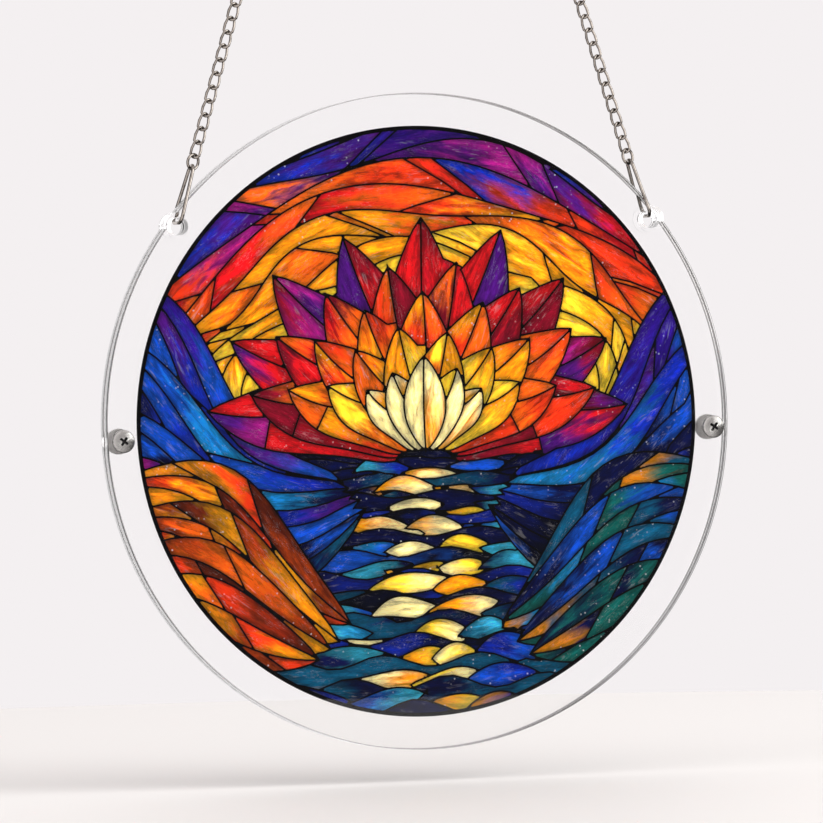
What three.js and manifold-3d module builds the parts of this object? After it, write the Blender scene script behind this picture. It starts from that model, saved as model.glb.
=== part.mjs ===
// A round hanging suncatcher: two clear acrylic plates with a printed film held between them
// by a machine screw and a cap nut on each side, hung by two fine curb chains from one ring.
// Millimetres, +Z up. The front faces -Y. The origin is where the top ring bears on its hook.

import * as THREE from "three";
import * as BufferGeometryUtils from "three/addons/utils/BufferGeometryUtils.js";
import Module from "manifold-3d";

const wasm = await Module();
wasm.setup();

// Plates and the film between them
const PLATE_DIAMETER = 180;
const PLATE_THICKNESS = 2.75;
const CLEAR_BORDER = 9; // from the film's edge to the rim of the plates
const FILM_THICKNESS = 0.3;
const FILM_CLEARANCE = 0.05; // air between the film and each plate
const PLATE_SEGMENTS = 64;

// Ears on the rim of each plate, which the chains hold
const EAR_DIAMETER = 7.6;
const EAR_HOLE_DIAMETER = 5;
const EAR_BOSS_HEIGHT = 0.25; // how far the ear's ring stands proud of the plate's outer face
const EAR_CENTRE_INSIDE_RIM = 2.6;
const EAR_ANGLE = 38.5; // degrees above the plate's horizontal diameter
const EAR_SEGMENTS = 16;

// Screws with pan heads in front and cap nuts behind
const SCREW_BELOW_CENTRE = 3.5; // the screws stand in the middle of the clear border
const SCREW_HEAD_DIAMETER = 6.3;
const SCREW_HEAD_HEIGHT = 1.1;
const SCREW_HEAD_EDGE = 0.5; // straight side of the head below its dome
const SCREW_SHANK_DIAMETER = 3;
const SCREW_HOLE_CLEARANCE = 0.3; // all round the shank
const RECESS_SPAN = 2.7;
const RECESS_SLOT = 0.75;
const RECESS_DEPTH = 0.8;
const RECESS_TURN = 36; // degrees
const NUT_DIAMETER = 7;
const NUT_HEIGHT = 2.4;
const NUT_EDGE = 1.1; // straight side of the nut below its dome
const SEAT_CLEARANCE = 0.05; // under the head and the nut
const NUT_WALL = 0.8; // closed end of the cap nut, past the shank
const THREAD_CLEARANCE = 0.15; // between the shank and the nut's bore
const DOME_POWER = 2.6; // 2 makes a round dome, more a flatter one
const SCREW_SEGMENTS = 14;

// Long pear-shaped link through each ear
const LONG_LINK_WIRE = 1.0;
const LONG_LINK_LENGTH = 17.3; // over the wire
const LONG_LINK_TOP_WIDTH = 5; // over the wire
const LONG_LINK_CORNER = 2.1; // bend of its lower corners, at the wire's centre
const LONG_LINK_SIDE_CLEARANCE = 0.15; // from each outer face of the ears
const LONG_LINK_BEND_STEPS = 3; // half the straight pieces that make each bend
const WIRE_SIDES = 6;

// Round jump rings at both ends of each chain
const JUMP_RING_WIRE = 0.8;
const JUMP_RING_DIAMETER = 4.9; // over the wire
const JUMP_RING_TURN = 30; // degrees, out of the plane of the plates, below the chain
const JUMP_RING_SEGMENTS = 10;

// Curb chain
const LINK_COUNT = 53;
const LINK_PITCH = 3.9;
const LINK_WIRE = 0.78;
const LINK_WIDTH = 3.4; // over the wire
const LINK_END_WIDTH = 2.0; // between the corners at each end, at the wire's centre
const LINK_TWIST = 76; // degrees, from one end of a link to the other
const LINK_CONTACT = 0.06; // how far the wires of neighbouring links press into each other
const LINK_WIRE_SIDES = 4;

// Ring at the top, which goes over a hook or a nail
const HANGING_RING_INNER_DIAMETER = 9;
const HANGING_RING_WIRE = 1.6;
const HANGING_RING_SEGMENTS = 24;
const HANGING_RING_WIRE_SIDES = 6;

const WIRE_CLEARANCE = 0.12; // between two wires that hold each other

const acrylic = { color: 0xf4f7f8, roughness: 0.03, metalness: 0, transparent: true, opacity: 0.35 };
const printed = { color: 0x2a4aa8, roughness: 0.4, metalness: 0 };
const steel = { color: 0xc4c4c2, roughness: 0.25, metalness: 1 };
const nickel = { color: 0xa9a6a1, roughness: 0.3, metalness: 1 };

const UP = new THREE.Vector3(0, 0, 1);
const SAME_POINT = 1e-4;
const PAST_FACE = 1; // how far a cutting tool runs past the face that it cuts
const toRadians = THREE.MathUtils.degToRad;

function solidOf(geometry) {
  const bare = geometry.clone();
  bare.deleteAttribute("normal");
  bare.deleteAttribute("uv");
  const merged = BufferGeometryUtils.mergeVertices(bare, SAME_POINT / 10);
  return new wasm.Manifold(
    new wasm.Mesh({
      numProp: 3,
      vertProperties: Float32Array.from(merged.attributes.position.array),
      triVerts: Uint32Array.from(merged.index.array),
    }),
  );
}

function geometryOf(solid) {
  const mesh = solid.getMesh();
  const geometry = new THREE.BufferGeometry();
  geometry.setAttribute("position", new THREE.BufferAttribute(mesh.vertProperties, 3));
  geometry.setIndex(new THREE.BufferAttribute(mesh.triVerts, 1));
  geometry.computeVertexNormals();
  return geometry;
}

function piece(name, geometry, look) {
  const mesh = new THREE.Mesh(geometry, new THREE.MeshStandardMaterial(look));
  mesh.name = name;
  return mesh;
}

// A round bar along Y, from yStart to yEnd, about the point (x, z).
function barAlongY(diameter, yStart, yEnd, segments, x = 0, z = 0) {
  const bar = new THREE.CylinderGeometry(diameter / 2, diameter / 2, yEnd - yStart, segments);
  return bar.translate(x, (yStart + yEnd) / 2, z);
}

// A turned solid about the Y axis, from a closed profile of [radius, y] points.
function turnedAboutY(profile, segments) {
  const points = profile.map(([radius, y]) => new THREE.Vector2(radius, y));
  return new THREE.LatheGeometry(points, segments);
}

// A wire's section has flat sides, and the same area as the round wire that it stands for.
const cornerDistance = (wire, sides) =>
  (wire / 2) * Math.sqrt((2 * Math.PI) / (sides * Math.sin((2 * Math.PI) / sides)));

// A closed loop of wire through the given centres, with mitred corners. The section has a
// corner along each normal.
function wireLoop(centres, normals, wire, sides) {
  const cornerRadius = cornerDistance(wire, sides);
  const positions = [];
  const indices = [];
  const count = centres.length;
  centres.forEach((centre, i) => {
    const next = (i + 1) % count;
    const arriving = new THREE.Vector3().subVectors(centre, centres[(i + count - 1) % count]);
    const leaving = new THREE.Vector3().subVectors(centres[next], centre);
    arriving.normalize();
    leaving.normalize();
    const along = new THREE.Vector3().addVectors(arriving, leaving).normalize();
    const bend = new THREE.Vector3().subVectors(leaving, arriving).normalize();
    const mitre = 1 / along.dot(leaving) - 1;
    const out = normals[i].clone().addScaledVector(along, -normals[i].dot(along)).normalize();
    const across = new THREE.Vector3().crossVectors(along, out);
    for (let side = 0; side < sides; side += 1) {
      const angle = (2 * Math.PI * side) / sides;
      const offset = new THREE.Vector3()
        .addScaledVector(out, Math.cos(angle) * cornerRadius)
        .addScaledVector(across, Math.sin(angle) * cornerRadius);
      offset.addScaledVector(bend, offset.dot(bend) * mitre);
      const point = offset.add(centre);
      positions.push(point.x, point.y, point.z);
      const other = (side + 1) % sides;
      const a = i * sides + side;
      const b = next * sides + side;
      const c = next * sides + other;
      const d = i * sides + other;
      indices.push(a, c, b, a, d, c);
    }
  });
  const geometry = new THREE.BufferGeometry();
  geometry.setAttribute("position", new THREE.BufferAttribute(new Float32Array(positions), 3));
  geometry.setIndex(indices);
  return geometry;
}

// A round ring of wire about the origin. Its axis is +Y before it is turned.
function ringOfWire(diameterOverWire, wire, segments, sides) {
  const radius = (diameterOverWire - wire) / 2;
  const centres = [];
  const normals = [];
  for (let i = 0; i < segments; i += 1) {
    const angle = (2 * Math.PI * i) / segments;
    const spoke = new THREE.Vector3(Math.cos(angle), 0, Math.sin(angle));
    centres.push(spoke.clone().multiplyScalar(radius));
    normals.push(spoke);
  }
  return wireLoop(centres, normals, wire, sides);
}

// Places worked out from the sizes above
const plateInner = FILM_THICKNESS / 2 + FILM_CLEARANCE;
const plateOuter = plateInner + PLATE_THICKNESS;
const earOuter = plateOuter + EAR_BOSS_HEIGHT;
const plateRadius = PLATE_DIAMETER / 2;
const earX = (plateRadius - EAR_CENTRE_INSIDE_RIM) * Math.cos(toRadians(EAR_ANGLE));
const earZ = (plateRadius - EAR_CENTRE_INSIDE_RIM) * Math.sin(toRadians(EAR_ANGLE));
const filmDiameter = PLATE_DIAMETER - 2 * CLEAR_BORDER;
const screwX = plateRadius - CLEAR_BORDER / 2;
const linkLength = LINK_PITCH + 2 * cornerDistance(LINK_WIRE, LINK_WIRE_SIDES) - LINK_CONTACT;
const hangingRingMiddle = (HANGING_RING_INNER_DIAMETER + HANGING_RING_WIRE) / 2;
const jumpRingMiddle = (JUMP_RING_DIAMETER - JUMP_RING_WIRE) / 2;

// The long link's half width is set by the ears that it goes round.
const longLinkHalfWidth = earOuter + LONG_LINK_SIDE_CLEARANCE + LONG_LINK_WIRE / 2;
const cornerStart = longLinkHalfWidth - LONG_LINK_CORNER;
const cornerInner = LONG_LINK_CORNER - LONG_LINK_WIRE / 2;
const cornerReach = Math.min(earOuter - cornerStart, cornerInner);
const bearingRise = cornerInner - Math.sqrt(cornerInner ** 2 - Math.max(cornerReach, 0) ** 2);

// Distances of the hanging pieces from the ear hole's centre, along the chain's line
const heldBy = (wireA, wireB) => (wireA + wireB) / 2 + WIRE_CLEARANCE;
const longLinkBottom =
  EAR_HOLE_DIAMETER / 2 - bearingRise - LONG_LINK_WIRE / 2 - WIRE_CLEARANCE;
const longLinkTop = longLinkBottom + LONG_LINK_LENGTH - LONG_LINK_WIRE;
const lowerRingCentre = longLinkTop - heldBy(LONG_LINK_WIRE, JUMP_RING_WIRE) + jumpRingMiddle;
const chainBottom = lowerRingCentre + jumpRingMiddle - heldBy(JUMP_RING_WIRE, LINK_WIRE);
const chainTop = chainBottom + (LINK_COUNT - 1) * LINK_PITCH + linkLength;
const upperRingCentre = chainTop - heldBy(JUMP_RING_WIRE, LINK_WIRE) + jumpRingMiddle;
const hangingRingBottom =
  upperRingCentre + jumpRingMiddle - heldBy(JUMP_RING_WIRE, HANGING_RING_WIRE);
const chainSpan = hangingRingBottom + hangingRingMiddle;

// Each chain's line runs from its ear hole to the centre of the ring at the top.
const chainLean = Math.asin(earX / chainSpan);
const ringCentreZ = -HANGING_RING_INNER_DIAMETER / 2;
const plateCentreZ = ringCentreZ - chainSpan * Math.cos(chainLean) - earZ;

// How far a dome has dropped below its crown, as a share of its height
const domeDrop = (share) => 1 - Math.sqrt(1 - share ** DOME_POWER);

function earPlaces() {
  return [-1, 1].map((side) => ({ x: side * earX, z: earZ }));
}

function screwPlaces() {
  return [-1, 1].map((side) => ({ x: side * screwX, z: -SCREW_BELOW_CENTRE }));
}

// A plate from its inner face at yInner to its outer face. outward is -1 in front, 1 behind.
function plateGeometry(outward) {
  const span = (from, to) => [outward * from, outward * to].sort((a, b) => a - b);
  const [low, high] = span(plateInner, plateOuter);
  const [earLow, earHigh] = span(plateInner, earOuter);
  let plate = solidOf(barAlongY(PLATE_DIAMETER, low, high, PLATE_SEGMENTS));
  for (const { x, z } of earPlaces()) {
    plate = plate.add(solidOf(barAlongY(EAR_DIAMETER, earLow, earHigh, EAR_SEGMENTS, x, z)));
  }
  for (const { x, z } of earPlaces()) {
    plate = plate.subtract(
      solidOf(
        barAlongY(EAR_HOLE_DIAMETER, earLow - PAST_FACE, earHigh + PAST_FACE, EAR_SEGMENTS, x, z),
      ),
    );
  }
  const screwHole = SCREW_SHANK_DIAMETER + 2 * SCREW_HOLE_CLEARANCE;
  for (const { x, z } of screwPlaces()) {
    plate = plate.subtract(
      solidOf(barAlongY(screwHole, low - PAST_FACE, high + PAST_FACE, SCREW_SEGMENTS, x, z)),
    );
  }
  return geometryOf(plate);
}

// The screw's axis is Y, its domed head in front with a cross recess.
function screwGeometry() {
  const seat = -(plateOuter + SEAT_CLEARANCE);
  const crown = seat - SCREW_HEAD_HEIGHT;
  const shankEnd = plateOuter + SEAT_CLEARANCE + NUT_HEIGHT - NUT_WALL - THREAD_CLEARANCE;
  const headRadius = SCREW_HEAD_DIAMETER / 2;
  const domeSteps = 4;
  const profile = [[0, crown]];
  for (let i = 1; i <= domeSteps; i += 1) {
    const share = i / domeSteps;
    const drop = (SCREW_HEAD_HEIGHT - SCREW_HEAD_EDGE) * domeDrop(share);
    profile.push([headRadius * share, crown + drop]);
  }
  profile.push([headRadius, seat]);
  profile.push([SCREW_SHANK_DIAMETER / 2, seat]);
  profile.push([SCREW_SHANK_DIAMETER / 2, shankEnd]);
  profile.push([0, shankEnd]);
  let screw = solidOf(turnedAboutY(profile, SCREW_SEGMENTS));
  for (const turn of [0, Math.PI / 2]) {
    const slot = new THREE.BoxGeometry(RECESS_SPAN, 2 * RECESS_DEPTH, RECESS_SLOT);
    slot.rotateY(turn + toRadians(RECESS_TURN)).translate(0, crown, 0);
    screw = screw.subtract(solidOf(slot));
  }
  return geometryOf(screw);
}

// The cap nut's axis is Y, its blind bore open towards the plate.
function nutGeometry() {
  const seat = plateOuter + SEAT_CLEARANCE;
  const crown = seat + NUT_HEIGHT;
  const boreEnd = crown - NUT_WALL;
  const boreRadius = SCREW_SHANK_DIAMETER / 2 + THREAD_CLEARANCE;
  const nutRadius = NUT_DIAMETER / 2;
  const domeSteps = 3;
  const profile = [[0, boreEnd], [boreRadius, boreEnd], [boreRadius, seat], [nutRadius, seat]];
  for (let i = domeSteps; i >= 1; i -= 1) {
    const share = i / domeSteps;
    const drop = (NUT_HEIGHT - NUT_EDGE) * domeDrop(share);
    profile.push([nutRadius * share, crown - drop]);
  }
  profile.push([0, crown]);
  return turnedAboutY(profile, SCREW_SEGMENTS);
}

// The long link stands in the YZ plane, its bottom at z = 0 and its top up, both at the wire's
// centre: round corners below, legs that lean together, and a round top.
function longLinkGeometry() {
  const height = LONG_LINK_LENGTH - LONG_LINK_WIRE;
  const topRadius = (LONG_LINK_TOP_WIDTH - LONG_LINK_WIRE) / 2;
  const rise = height - topRadius - LONG_LINK_CORNER;
  const inset = cornerStart;
  // The legs are tangent to the corner bend and to the top bend.
  const gap = Math.hypot(rise, inset);
  const lean = Math.atan2(inset, rise) + Math.asin((LONG_LINK_CORNER - topRadius) / gap);
  const path = new THREE.Path();
  path.moveTo(0, 0);
  path.lineTo(inset, 0);
  path.absarc(inset, LONG_LINK_CORNER, LONG_LINK_CORNER, -Math.PI / 2, lean, false);
  path.absarc(0, height - topRadius, topRadius, lean, Math.PI - lean, false);
  path.absarc(-inset, LONG_LINK_CORNER, LONG_LINK_CORNER, Math.PI - lean, 1.5 * Math.PI, false);
  path.lineTo(0, 0);
  const centres = path
    .getPoints(LONG_LINK_BEND_STEPS)
    .filter((point, i, points) => i > 0 && point.distanceTo(points[i - 1]) > SAME_POINT)
    .map((point) => new THREE.Vector3(0, point.x, point.y));
  const middle = new THREE.Vector3(0, 0, height / 2);
  const normals = centres.map((centre) => new THREE.Vector3().subVectors(centre, middle));
  return wireLoop(centres, normals, LONG_LINK_WIRE, WIRE_SIDES);
}

// One curb link along Z about its middle: an oval whose two ends are twisted apart.
function curbLink() {
  const halfLength = linkLength / 2;
  const halfWidth = (LINK_WIDTH - LINK_WIRE) / 2;
  const halfEnd = LINK_END_WIDTH / 2;
  const outline = [
    [halfLength, -halfEnd],
    [halfLength, halfEnd],
    [0, halfWidth],
    [-halfLength, halfEnd],
    [-halfLength, -halfEnd],
    [0, -halfWidth],
  ];
  const centres = [];
  const normals = [];
  for (const [along, aside] of outline) {
    const turn = toRadians((LINK_TWIST / 2) * (along / halfLength));
    const sideways = new THREE.Vector3(Math.cos(turn), Math.sin(turn), 0);
    const centre = sideways.multiplyScalar(aside).addScaledVector(UP, along);
    centres.push(centre);
    normals.push(centre.clone().negate());
  }
  return wireLoop(centres, normals, LINK_WIRE, LINK_WIRE_SIDES);
}

// The chain's links, pressed together where they bear, from z = 0 upwards.
function chainGeometry() {
  const link = solidOf(curbLink());
  let links = [];
  for (let i = 0; i < LINK_COUNT; i += 1) {
    links.push(link.translate([0, 0, linkLength / 2 + i * LINK_PITCH]));
  }
  while (links.length > 1) {
    const joined = [];
    for (let i = 0; i < links.length; i += 2) {
      joined.push(i + 1 < links.length ? links[i].add(links[i + 1]) : links[i]);
    }
    links = joined;
  }
  return geometryOf(links[0]);
}

// A group on the chain's line: its Z axis runs from the ear hole to the top ring's centre.
function chainLine(side) {
  const line = new THREE.Group();
  line.position.set(side * earX, 0, earZ);
  line.rotation.y = -side * chainLean;
  return line;
}

function hangingSet(side, sideName) {
  const line = chainLine(side);
  const longLink = piece(`long_link_${sideName}`, longLinkGeometry(), nickel);
  longLink.position.z = longLinkBottom;
  const lowerRing = piece(
    `lower_ring_${sideName}`,
    ringOfWire(JUMP_RING_DIAMETER, JUMP_RING_WIRE, JUMP_RING_SEGMENTS, WIRE_SIDES),
    nickel,
  );
  lowerRing.position.z = lowerRingCentre;
  lowerRing.rotation.z = toRadians(JUMP_RING_TURN);
  const chain = piece(`chain_${sideName}`, chainGeometry(), nickel);
  chain.position.z = chainBottom;
  const upperRing = piece(
    `upper_ring_${sideName}`,
    ringOfWire(JUMP_RING_DIAMETER, JUMP_RING_WIRE, JUMP_RING_SEGMENTS, WIRE_SIDES),
    nickel,
  );
  upperRing.position.z = upperRingCentre;
  upperRing.rotation.z = Math.PI / 2;
  line.add(longLink, lowerRing, chain, upperRing);
  return line;
}

const suncatcher = new THREE.Group();
const disc = new THREE.Group();
disc.position.z = plateCentreZ;
suncatcher.add(disc);

disc.add(piece("front_plate", plateGeometry(-1), acrylic));
disc.add(piece("back_plate", plateGeometry(1), acrylic));
disc.add(
  piece(
    "printed_film",
    barAlongY(filmDiameter, -FILM_THICKNESS / 2, FILM_THICKNESS / 2, PLATE_SEGMENTS),
    printed,
  ),
);

screwPlaces().forEach(({ x, z }, i) => {
  const sideName = ["left", "right"][i];
  const screw = piece(`screw_${sideName}`, screwGeometry(), steel);
  screw.position.set(x, 0, z);
  const nut = piece(`cap_nut_${sideName}`, nutGeometry(), steel);
  nut.position.set(x, 0, z);
  disc.add(screw, nut);
});

disc.add(hangingSet(-1, "left"));
disc.add(hangingSet(1, "right"));

const hangingRing = piece(
  "hanging_ring",
  ringOfWire(
    HANGING_RING_INNER_DIAMETER + 2 * HANGING_RING_WIRE,
    HANGING_RING_WIRE,
    HANGING_RING_SEGMENTS,
    HANGING_RING_WIRE_SIDES,
  ),
  nickel,
);
hangingRing.position.z = ringCentreZ;
suncatcher.add(hangingRing);

export default suncatcher;
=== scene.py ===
"""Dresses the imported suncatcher: clear plates, a printed stained-glass film, screws and chains."""

import math
import random

import bpy
import numpy as np
from mathutils import Matrix, Vector
from mathutils.geometry import delaunay_2d_cdt
from mathutils.kdtree import KDTree


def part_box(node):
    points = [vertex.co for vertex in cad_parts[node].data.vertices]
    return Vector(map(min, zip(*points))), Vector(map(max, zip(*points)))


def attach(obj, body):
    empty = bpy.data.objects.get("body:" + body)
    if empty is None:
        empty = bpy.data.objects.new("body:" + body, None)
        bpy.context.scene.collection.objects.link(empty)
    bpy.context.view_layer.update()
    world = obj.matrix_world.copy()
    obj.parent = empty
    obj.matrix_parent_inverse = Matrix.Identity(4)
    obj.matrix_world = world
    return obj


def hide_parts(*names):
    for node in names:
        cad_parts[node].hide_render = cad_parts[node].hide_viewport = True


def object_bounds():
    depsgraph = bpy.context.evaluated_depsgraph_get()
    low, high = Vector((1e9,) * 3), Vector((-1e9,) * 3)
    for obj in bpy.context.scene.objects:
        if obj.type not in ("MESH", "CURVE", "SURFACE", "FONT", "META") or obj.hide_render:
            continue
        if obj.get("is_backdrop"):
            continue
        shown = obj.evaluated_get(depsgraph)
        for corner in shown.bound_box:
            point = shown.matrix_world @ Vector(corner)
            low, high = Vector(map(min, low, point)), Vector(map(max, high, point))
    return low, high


bl_info = {
    "name": "Acrylic suncatcher",
    "version": (1, 0, 0),
    "blender": (4, 5, 0),
    "location": "3D View > Sidebar > Suncatcher",
    "description": "Makes the finished pieces of a hanging acrylic suncatcher round its frame",
    "category": "Add Mesh",
}

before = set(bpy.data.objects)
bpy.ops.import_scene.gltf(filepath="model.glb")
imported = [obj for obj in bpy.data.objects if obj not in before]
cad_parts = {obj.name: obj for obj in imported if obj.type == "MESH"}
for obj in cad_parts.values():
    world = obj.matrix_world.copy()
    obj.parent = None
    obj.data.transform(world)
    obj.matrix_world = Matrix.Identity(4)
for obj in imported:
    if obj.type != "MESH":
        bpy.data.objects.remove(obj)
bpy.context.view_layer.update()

MM = 0.001
SIDES = ("left", "right")
LEAD_BLACK = "050508"


def box_middle(node):
    low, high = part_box(node)
    return (Vector(low) + Vector(high)) / 2


def box_size(node):
    low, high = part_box(node)
    return Vector(high) - Vector(low)


FILM_MIDDLE = box_middle("printed_film")
FILM_RADIUS = box_size("printed_film").z / 2
FILM_THICKNESS = box_size("printed_film").y
PLATE_RADIUS = box_size("front_plate").z / 2
RING_MIDDLE = box_middle("hanging_ring")


def linear(code):
    """A linear colour from a six-digit sRGB code."""
    shares = [int(code[i : i + 2], 16) / 255 for i in (0, 2, 4)]
    return tuple(s / 12.92 if s <= 0.04045 else ((s + 0.055) / 1.055) ** 2.4 for s in shares)


def colour_property(name, description, code):
    return bpy.props.FloatVectorProperty(
        name=name, description=description, subtype="COLOR", size=3, min=0, max=1,
        default=linear(code),
    )


def length_property(name, description, millimetres):
    return bpy.props.FloatProperty(
        name=name, description=description, unit="LENGTH", default=millimetres * MM, min=0
    )


def angle_property(name, description, degrees):
    return bpy.props.FloatProperty(
        name=name, description=description, subtype="ANGLE", default=math.radians(degrees)
    )


class SuncatcherPlates(bpy.types.PropertyGroup):
    """Sizes of the clear plates."""

    thickness: length_property("Plate thickness", "Thickness of each clear plate", 2.75)
    boss_height: length_property("Ear ring height", "How far the ear's ring stands proud", 0.25)
    ear_diameter: length_property("Ear diameter", "Outside of each round ear", 7.6)
    ear_hole: length_property("Ear hole", "Hole that the long link passes through", 5)
    screw_hole: length_property("Screw hole", "Hole round each screw", 3.6)
    ear_inside_rim: length_property("Ear inside rim", "From the rim in to the ear's middle", 2.6)
    ear_angle: angle_property("Ear angle", "Ears above the plate's level diameter", 38.5)
    edge_round: length_property("Polished edge", "Rounding of the plates' rims", 0.3)
    hole_round: length_property("Hole edge", "Rounding of the ears and holes", 0.22)
    tint: colour_property("Acrylic tint", "Colour of the clear acrylic", "fefefe")
    # Painted shade: the grey that the rounded edges are tinted, standing in for the dark lines seen along
    # them
    edge_shade_tint: colour_property("Edge tint", "Colour seen through the rounded edges", "949292")


class SuncatcherPrint(bpy.types.PropertyGroup):
    """Sizes of the printed picture's lines."""

    lead_width: length_property("Lead line", "Width of the printed lead lines", 0.5)
    border: length_property("Border", "Width of the black border round the print", 0.85)
    pane_step: length_property("Mesh step", "Spacing of the mesh inside the panes", 1.5)
    lead: colour_property("Lead colour", "Colour of the printed lines", LEAD_BLACK)


class SuncatcherMetal(bpy.types.PropertyGroup):
    """Sizes and colours of the screws, rings and chains."""

    head_diameter: length_property("Screw head", "Diameter of the screw heads", 6.3)
    head_height: length_property("Head height", "Height of the screw heads", 1.1)
    nut_diameter: length_property("Cap nut", "Diameter of the cap nuts", 7)
    nut_height: length_property("Nut height", "Height of the cap nuts", 2.4)
    jump_wire: length_property("Jump ring wire", "Wire of the jump rings", 0.8)
    jump_diameter: length_property("Jump ring", "Diameter over the wire", 4.9)
    jump_turn: angle_property("Lower ring turn", "Turn of the lower rings on the chain", 30)
    link_wire: length_property("Chain wire", "Wire of the chain's links", 0.78)
    link_width: length_property("Link width", "Width of a link over the wire", 3.4)
    link_pitch: length_property("Link pitch", "From one link to the next", 3.9)
    link_twist: angle_property("Link twist", "Twist between the two ends of a link", 76)
    long_wire: length_property("Long link wire", "Wire of the long links", 1)
    long_length: length_property("Long link", "Length over the wire", 17.3)
    long_top: length_property("Long link top", "Width of its top over the wire", 5)
    long_corner: length_property("Long link corner", "Bend of its lower corners", 2.1)
    ring_wire: length_property("Hanging ring wire", "Wire of the hanging ring", 1.6)
    ring_inner: length_property("Hanging ring", "Inside diameter of the hanging ring", 9)
    nickel: colour_property("Nickel", "Colour of the nickel-plated wire", "8c857e")
    steel: colour_property("Steel", "Colour of the screws", "9d9b98")
    satin: colour_property("Satin steel", "Colour of the cap nuts", "f4f2f0")


class SuncatcherStage(bpy.types.PropertyGroup):
    """Floor, light and camera."""

    wall: colour_property("Backdrop", "Colour behind the object", "f4f0f1")
    floor: colour_property("Floor", "Colour of the floor", "d7d5d2")
    turn: angle_property("Camera turn", "Camera to the left of the plates' front", 19.05)
    lift: angle_property("Camera lift", "Camera above the plates' middle", 0.34)
    roll: angle_property("Camera roll", "Object's lean in the picture", -1.28)
    distance: bpy.props.FloatProperty(
        name="Camera distance", description="From the plates' middle", unit="LENGTH", default=2.0
    )
    gap: length_property("Floor gap", "From the plates' lowest point down to the floor", 9)
    floor_radius: length_property("Floor radius", "Size of the round floor", 520)


PROPERTY_GROUPS = {
    "suncatcher_plates": SuncatcherPlates,
    "suncatcher_print": SuncatcherPrint,
    "suncatcher_metal": SuncatcherMetal,
    "suncatcher_stage": SuncatcherStage,
}

# The photograph's size, and the plates' middle and scale in it, in pixels
PHOTO_SIZE = 823
PLATE_MIDDLE_X = 418.4
PLATE_MIDDLE_Y = 421.2
PIXELS_PER_METRE = 3646
SENSOR_WIDTH = 36  # millimetres


# Helpers for objects and meshes


def deselect_all():
    if bpy.context.object and bpy.context.object.mode != "OBJECT":
        bpy.ops.object.mode_set(mode="OBJECT")
    bpy.ops.object.select_all(action="DESELECT")


def take(obj):
    """Selects one object alone and makes it the active one."""
    deselect_all()
    obj.select_set(True)
    bpy.context.view_layer.objects.active = obj


def settle(obj):
    """Puts the object's place into its mesh."""
    take(obj)
    bpy.ops.object.transform_apply(location=True, rotation=True, scale=True)
    return obj


def apply_modifiers(obj):
    take(obj)
    for modifier in list(obj.modifiers):
        bpy.ops.object.modifier_apply(modifier=modifier.name)
    return obj


def add_object(name, data):
    """A new object round a mesh, a curve, a light or a camera."""
    obj = bpy.data.objects.new(name, data)
    bpy.context.collection.objects.link(obj)
    return obj


def write_attribute(mesh, name, kind, domain, values):
    field = {"FLOAT": "value", "FLOAT_VECTOR": "vector", "FLOAT_COLOR": "color"}[kind]
    mesh.attributes.new(name, kind, domain).data.foreach_set(field, values)


def cylinder_along_y(name, middle, radius, depth, sides):
    deselect_all()
    bpy.ops.mesh.primitive_cylinder_add(
        vertices=sides, radius=radius, depth=depth, location=middle,
        rotation=(math.pi / 2, 0, 0),
    )
    obj = bpy.context.object
    obj.name = obj.data.name = name
    return settle(obj)


def cut_or_join(obj, tool, operation):
    """A boolean with a tool that is used up."""
    modifier = obj.modifiers.new("tool", "BOOLEAN")
    modifier.operation = operation
    modifier.solver = "EXACT"
    modifier.object = tool
    apply_modifiers(obj)
    bpy.data.objects.remove(tool, do_unlink=True)


def soften_edges(obj, width, segments, degrees=35):
    modifier = obj.modifiers.new("edges", "BEVEL")
    modifier.width = width
    modifier.segments = segments
    modifier.limit_method = "ANGLE"
    modifier.angle_limit = math.radians(degrees)
    apply_modifiers(obj)


def smooth(obj, degrees=40):
    take(obj)
    bpy.ops.object.shade_smooth_by_angle(angle=math.radians(degrees))
    return obj


def join(objects, name):
    deselect_all()
    for obj in objects:
        obj.select_set(True)
    bpy.context.view_layer.objects.active = objects[0]
    bpy.ops.object.join()
    joined = bpy.context.object
    joined.name = joined.data.name = name
    return joined


def moved_copy(mesh, name, matrix):
    """An object with its own copy of the mesh, moved inside the mesh."""
    data = mesh.copy()
    data.transform(matrix)
    data.name = name
    return add_object(name, data)


def finish_piece(obj, cad_name, material):
    """Gives a piece its material, hangs it on the root body, and hides the CAD part that it stands for."""
    obj.data.materials.clear()
    obj.data.materials.append(material)
    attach(obj, "root")
    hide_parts(cad_name)


# Helpers for materials


def new_material(name):
    material = bpy.data.materials.new(name)
    material.use_nodes = True
    tree = material.node_tree
    return material, tree, tree.nodes["Principled BSDF"]


def node(tree, kind, inputs=None, **settings):
    """A new shader node. Each input is a value, or another node's output that is linked to it."""
    made = tree.nodes.new(kind)
    for key, value in settings.items():
        setattr(made, key, value)
    for key, value in (inputs or {}).items():
        if isinstance(value, bpy.types.NodeSocket):
            tree.links.new(value, made.inputs[key])
        else:
            made.inputs[key].default_value = value
    return made


def math_node(tree, operation, first, second=0.0):
    return node(tree, "ShaderNodeMath", {0: first, 1: second}, operation=operation).outputs[0]


def product(tree, first, second):
    return math_node(tree, "MULTIPLY", first, second)


def spread(tree, value, low, high, to_low=0.0, to_high=1.0, soft=True):
    """Maps a value from one range to another, clamped."""
    made = node(
        tree,
        "ShaderNodeMapRange",
        {"Value": value, "From Min": low, "From Max": high, "To Min": to_low, "To Max": to_high},
    )
    made.interpolation_type = "SMOOTHSTEP" if soft else "LINEAR"
    return made.outputs["Result"]


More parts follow.
